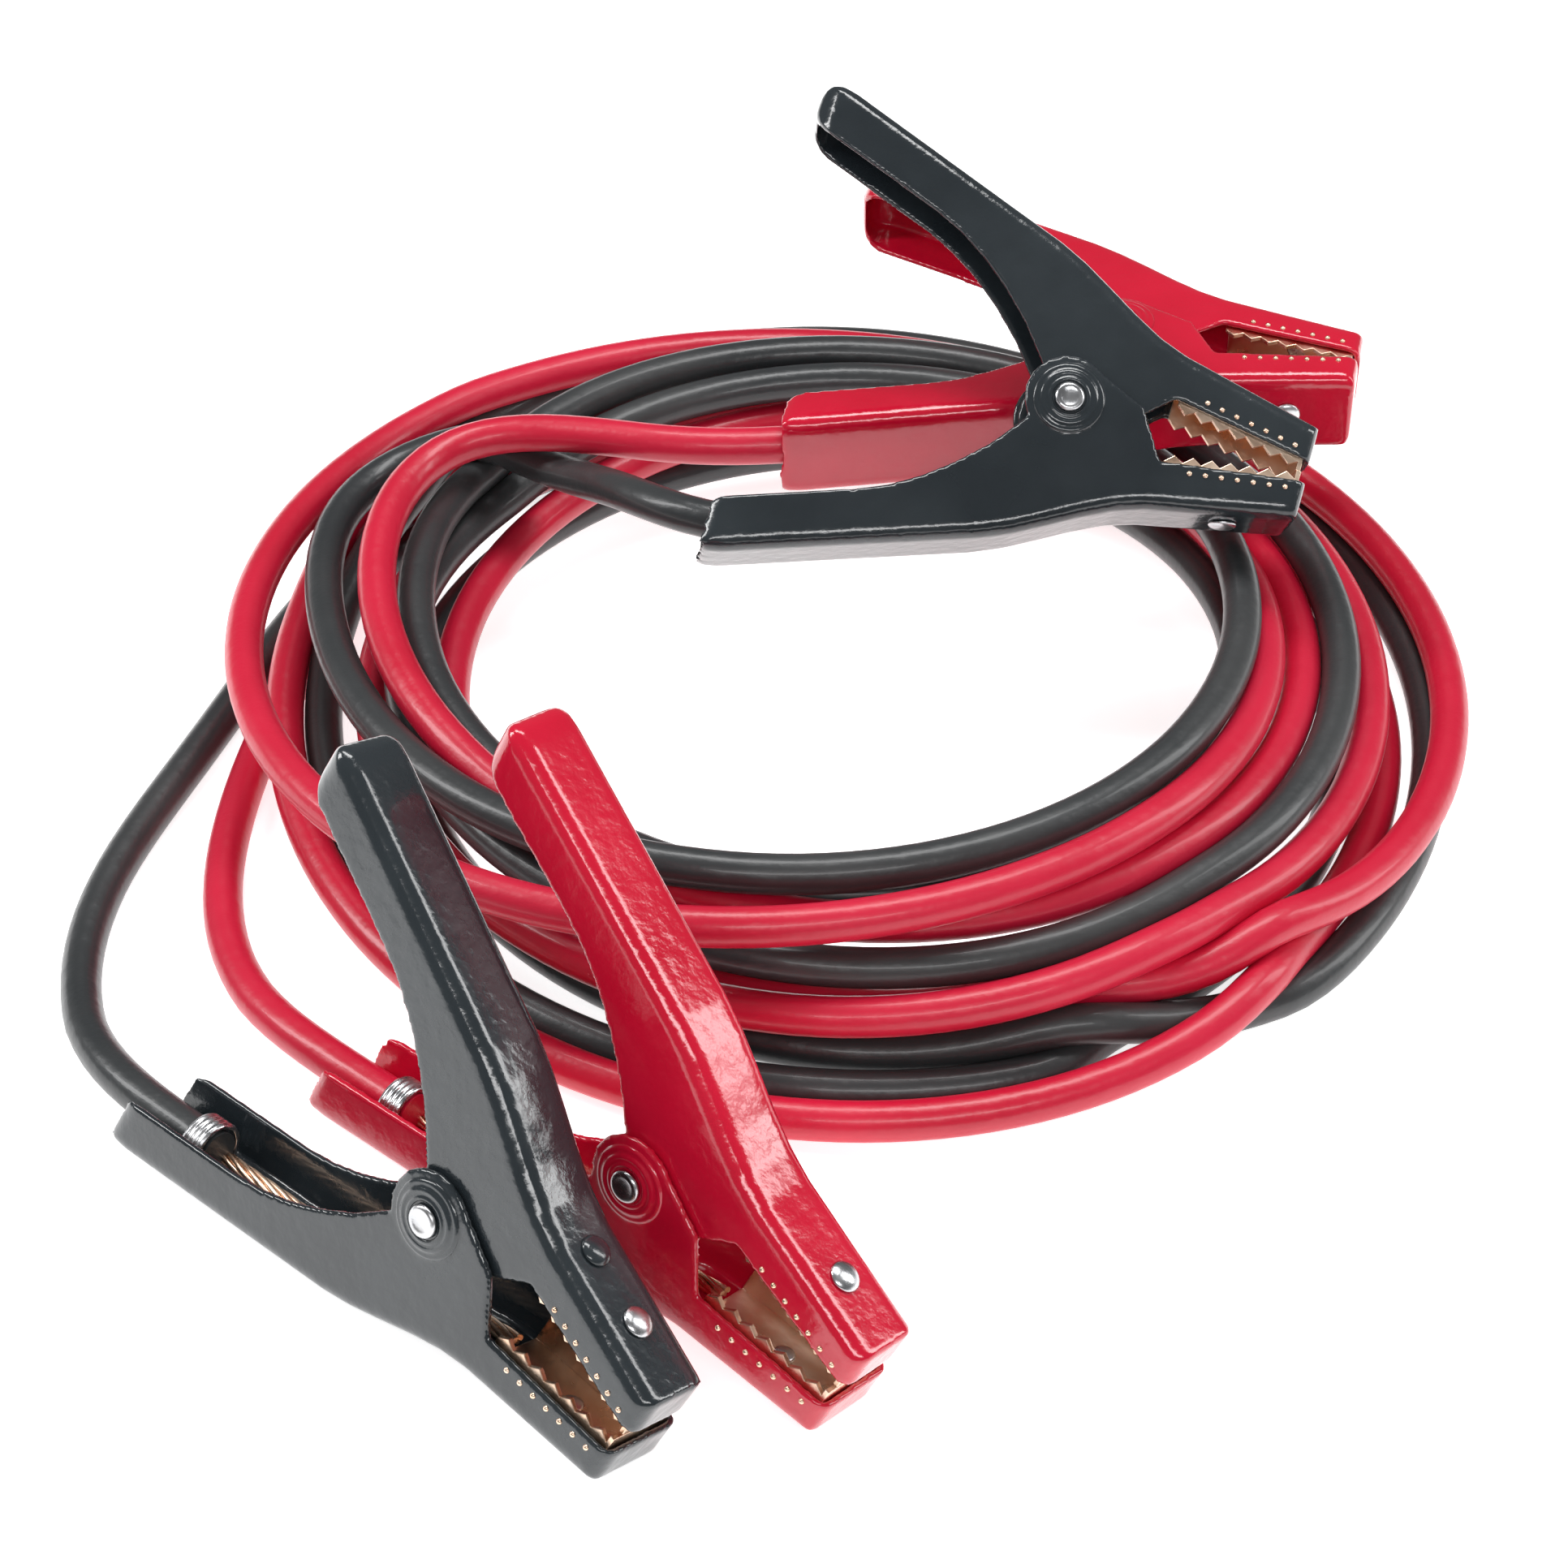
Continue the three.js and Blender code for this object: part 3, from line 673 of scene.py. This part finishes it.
def lower_leg(name, matrix):
    sine, cosine = math.sin(LEG_ANGLE), math.cos(LEG_ANGLE)
    along = np.array([cosine, 0, -sine])
    first = np.array([sine * SPRING_R, LEG_SIDE, cosine * SPRING_R])
    steps = np.linspace(0, LEG_LENGTH, LEG_SAMPLES)
    line = [matrix @ Vector(first + along * s) for s in steps]
    piece = tubes(f"{name}_spring_leg", [line], WIRE_R * MM, WIRE_ROUNDNESS)
    return finish_piece(piece, "steel", ROOT)


# %% [markdown]
# Past the strap the sheath ends and the copper runs bare to the jaw. Bump alone would
# look flat there, so six strands are twisted round a seventh.

# %% Conductor
SHEET_INSIDE = 1.8
SPINE_INSET = SHEET_INSIDE + 0.3 + 2.1
SPINE_SIDE = 3.0
SPINE_BACK_X = range(-60, -11, 4)
SPINE_FRONT = [(-4, -31.5), (4, -27.6), (12, -24.0), (20, -20.4), (27, -17.4)]
SPINE_SPACING = 1.2
STRANDS_ROUND = 6
STRAND_R = 0.66
TWIST_R = 1.35
TWIST_STEP = 0.22


def conductor(name, matrix):
    """Bared copper strands, twisted, from the cable's end to the jaw."""
    spine = [(x, -handle_back(x, SPINE_INSET)) for x in SPINE_BACK_X]
    spine = np.array([(x, SPINE_SIDE, z) for x, z in spine + SPINE_FRONT])
    spine = curve_through(spine, SPINE_SPACING)
    wires = []
    for k in range(STRANDS_ROUND + 1):
        off = 0.0 if k == STRANDS_ROUND else TWIST_R
        turn = np.arange(len(spine)) * TWIST_STEP + k * math.tau / STRANDS_ROUND
        wire = spine + np.stack([0 * turn, off * np.cos(turn), off * np.sin(turn)], axis=1)
        wires.append([matrix @ Vector(p) for p in wire])
    piece = tubes(f"{name}_strands", wires, STRAND_R * MM, 2)
    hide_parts(f"{name}_conductor")
    return finish_piece(piece, "copper", ROOT)


# %% [markdown]
# Small nibs punched through the jaw's sides hold the liner. They show as copper dots
# along the teeth.

# %% Jaw nibs
TEETH_X = (27, 65)
TEETH_HEIGHTS = (8.8, 2.7)
NIB_ROW_X = np.arange(35, 61, 4.1)
NIB_R = 0.75
NIB_SUNK = 0.15
NIB_OVER_TEETH = 2.5


def teeth_line(x):
    (back, nose), (high, low) = TEETH_X, TEETH_HEIGHTS
    return high + (x - back) * (low - high) / (nose - back)


def nibs(name, side, matrix, body):
    form = bmesh.new()
    half = (LOWER_WIDTH if side < 0 else UPPER_WIDTH) / 2
    for x in NIB_ROW_X:
        for face in (1, -1):
            height = side * (teeth_line(x) + NIB_OVER_TEETH)
            spot = Matrix.Translation((x, face * (half - NIB_SUNK), height))
            bmesh.ops.create_icosphere(form, subdivisions=2, radius=NIB_R, matrix=spot)
    which = "lower" if side < 0 else "upper"
    return finish_piece(piece_from(f"{name}_{which}_nibs", form, matrix), "copper", body)


# %% [markdown]
# The liners are stamped from copper strip. Their CAD form is already right, so each is
# copied, its loose triangles are merged, and only its sharp edges get a small bevel.

# %% Jaw liners
FLAT_ANGLE = math.radians(2)
SHARP_ANGLE = math.radians(25)
EASED_EDGE = 0.16 * MM
MERGE_M = 1e-7


def liner(node, body):
    """The CAD liner with its cut edges eased."""
    source = bpy.data.objects[node]
    form = bmesh.new()
    form.from_mesh(source.data)
    bmesh.ops.remove_doubles(form, verts=form.verts, dist=MERGE_M)
    bmesh.ops.dissolve_limit(form, angle_limit=FLAT_ANGLE, verts=form.verts, edges=form.edges)
    folds = [edge for edge in form.edges if len(edge.link_faces) == 2]
    sharp = [edge for edge in folds if edge.calc_face_angle() > SHARP_ANGLE]
    bmesh.ops.bevel(
        form,
        geom=sharp,
        offset=EASED_EDGE,
        offset_type="OFFSET",
        segments=2,
        profile=0.5,
        affect="EDGES",
        material=-1,
        clamp_overlap=True,
    )
    piece = piece_from(f"{node}_eased", form, Matrix.Identity(4), smooth=False)
    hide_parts(node)
    return finish_piece(piece, "copper", body)


# %% [markdown]
# A pressed steel band arches over the cable and grips it with its ribs. Its outline, an
# inner and an outer arch, is extruded along the handle in short steps, and the outer
# arch rises and falls on the way.

# %% Ribbed cable strap
STRAP_X = -63
STRAP_LENGTH = 6.0
STRAP_SHEET = 1.1
STRAP_RIBS = 4
RIB_RISE = 0.3
ARCH_R = 5.6
ARCH_HEIGHT = 5.3
ARCH_FOOT = 0.4
ARCH_POINTS = 21
STRAP_STEPS = 32


def arch_outline():
    """Points and outward directions, up one side of the arch and down the other."""
    sweep = np.linspace(0, math.pi, ARCH_POINTS)
    outwards = [(1, 0), *[(math.cos(a), math.sin(a)) for a in sweep], (-1, 0)]
    arch = [(ARCH_R * y, ARCH_HEIGHT + ARCH_R * z) for y, z in outwards[1:-1]]
    return [(ARCH_R, ARCH_FOOT), *arch, (-ARCH_R, ARCH_FOOT)], outwards


def strap(name, matrix):
    """An arched band over the cable, ribbed across its width."""
    centre = Vector((STRAP_X, 0, -handle_back(STRAP_X, SHEET_INSIDE)))
    up = Vector((-math.sin(HANDLE_SLOPE), 0, math.cos(HANDLE_SLOPE)))
    along = Vector((math.cos(HANDLE_SLOPE), 0, math.sin(HANDLE_SLOPE)))
    points, outwards = arch_outline()
    count = len(points)

    def place(index, s):
        outer = index >= count
        k = 2 * count - 1 - index if outer else index
        wave = math.sin(math.pi * STRAP_RIBS * s / STRAP_LENGTH) ** 2
        rise = STRAP_SHEET + RIB_RISE * wave if outer else 0
        y = points[k][0] + outwards[k][0] * rise
        z = points[k][1] + outwards[k][1] * rise
        return centre + Vector((0, y, 0)) + up * z + along * s

    form = bmesh.new()
    number = form.verts.layers.int.new("number")
    rim = [form.verts.new(place(k, 0)) for k in range(2 * count)]
    for k, vert in enumerate(rim):
        vert[number] = k
    edges = [form.edges.new(pair) for pair in zip(rim, [*rim[1:], rim[0]])]
    first = list(edges)
    for step in range(1, STRAP_STEPS + 1):
        grown = bmesh.ops.extrude_edge_only(form, edges=edges)["geom"]
        for vert in (g for g in grown if isinstance(g, bmesh.types.BMVert)):
            vert.co = place(vert[number], step / STRAP_STEPS * STRAP_LENGTH)
        edges = [g for g in grown if isinstance(g, bmesh.types.BMEdge) and g.is_boundary]
    for loop in (first, edges):
        bmesh.ops.contextual_create(form, geom=loop)
    piece = piece_from(f"{name}_ribbed_strap", form, matrix)
    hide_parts(f"{name}_cable_strap")
    return finish_piece(piece, "steel", ROOT)


# %% [markdown]
# The four clamps are alike, so one loop dresses them all. What is fixed to the lower
# lever rides on the root body, and what is fixed to the upper lever swings with it.

# %% Building the four clamps
for name in CLAMPS:
    matrix = clamp_matrix(name)
    coat = f"{name.split('_')[1]}_coat"
    upper_body = f"{name}_upper_side"
    coated(f"{name}_lower_lever", ROOT, coat)
    coated(f"{name}_upper_lever", upper_body, coat)
    liner(f"{name}_lower_jaw", ROOT)
    liner(f"{name}_upper_jaw", upper_body)
    rivet(f"{name}_lower_rivet", RIVET_X, -1, matrix, "steel", ROOT)
    rivet(f"{name}_upper_rivet", RIVET_X, 1, matrix, "steel", upper_body)
    pivot_pin(name, matrix)
    boss_rings(name, matrix, coat)
    spring(name, matrix)
    lower_leg(name, matrix)
    conductor(name, matrix)
    strap(name, matrix)
    nibs(name, -1, matrix, ROOT)
    nibs(name, 1, matrix, upper_body)
    arm = bpy.data.objects[f"{name}_spring_arm"].data
    arm.materials.clear()
    arm.materials.append(MATERIALS["steel"])
    print(f"{name}: dressed about {tuple(round(v, 4) for v in matrix.translation)} m")
rivet(
    "front_black_second_upper_rivet",
    SECOND_RIVET_X,
    1,
    clamp_matrix("front_black"),
    "black_coat",
    "front_black_upper_side",
)

# %% [markdown]
# ## Light
# A white floor that glows a little keeps the ground clean, as in a light tent. Large soft
# panels draw the long highlights on the coats and cables.

# %% Floor
FLOOR_RADIUS = 3.0
FLOOR_GLOW = 0.75
form = bmesh.new()
bmesh.ops.create_circle(form, cap_ends=True, segments=96, radius=FLOOR_RADIUS)
floor_mesh = bpy.data.meshes.new("floor")
form.to_mesh(floor_mesh)
form.free()
floor = bpy.data.objects.new("floor", floor_mesh)
bpy.context.collection.objects.link(floor)
floor_material = bpy.data.materials.new("floor")
floor_material.use_nodes = True
shader = floor_material.node_tree.nodes["Principled BSDF"]
shader.inputs["Base Color"].default_value = (0.9, 0.9, 0.9, 1)
shader.inputs["Roughness"].default_value = 0.9
shader.inputs["Emission Color"].default_value = (1, 1, 1, 1)
shader.inputs["Emission Strength"].default_value = FLOOR_GLOW
floor.data.materials.append(floor_material)
print(f"floor: {FLOOR_RADIUS} m in radius")

# %% World and panels
WORLD_STRENGTH = 0.16
AIM = Vector((0, 0, 0.03))
world = bpy.data.worlds.new("world")
bpy.context.scene.world = world
world.use_nodes = True
background = world.node_tree.nodes["Background"]
background.inputs["Color"].default_value = (1, 1, 1, 1)
background.inputs["Strength"].default_value = WORLD_STRENGTH


def panel(name, place, size, power):
    data = bpy.data.lights.new(name, "AREA")
    data.shape = "RECTANGLE"
    data.size, data.size_y = size
    data.energy = power
    light = bpy.data.objects.new(name, data)
    light.location = place
    light.rotation_euler = (AIM - Vector(place)).to_track_quat("-Z", "Y").to_euler()
    bpy.context.collection.objects.link(light)


panel("top_panel", (0.1, 0.35, 1.2), (0.9, 0.3), 9)
panel("left_panel", (-0.9, 0.1, 0.8), (0.2, 0.8), 7)
panel("right_panel", (1.0, 0.1, 0.6), (0.2, 0.8), 4)
panel("front_panel", (0.1, -1.0, 0.9), (0.9, 0.2), 5)

bpy.context.scene.view_settings.view_transform = "Standard"
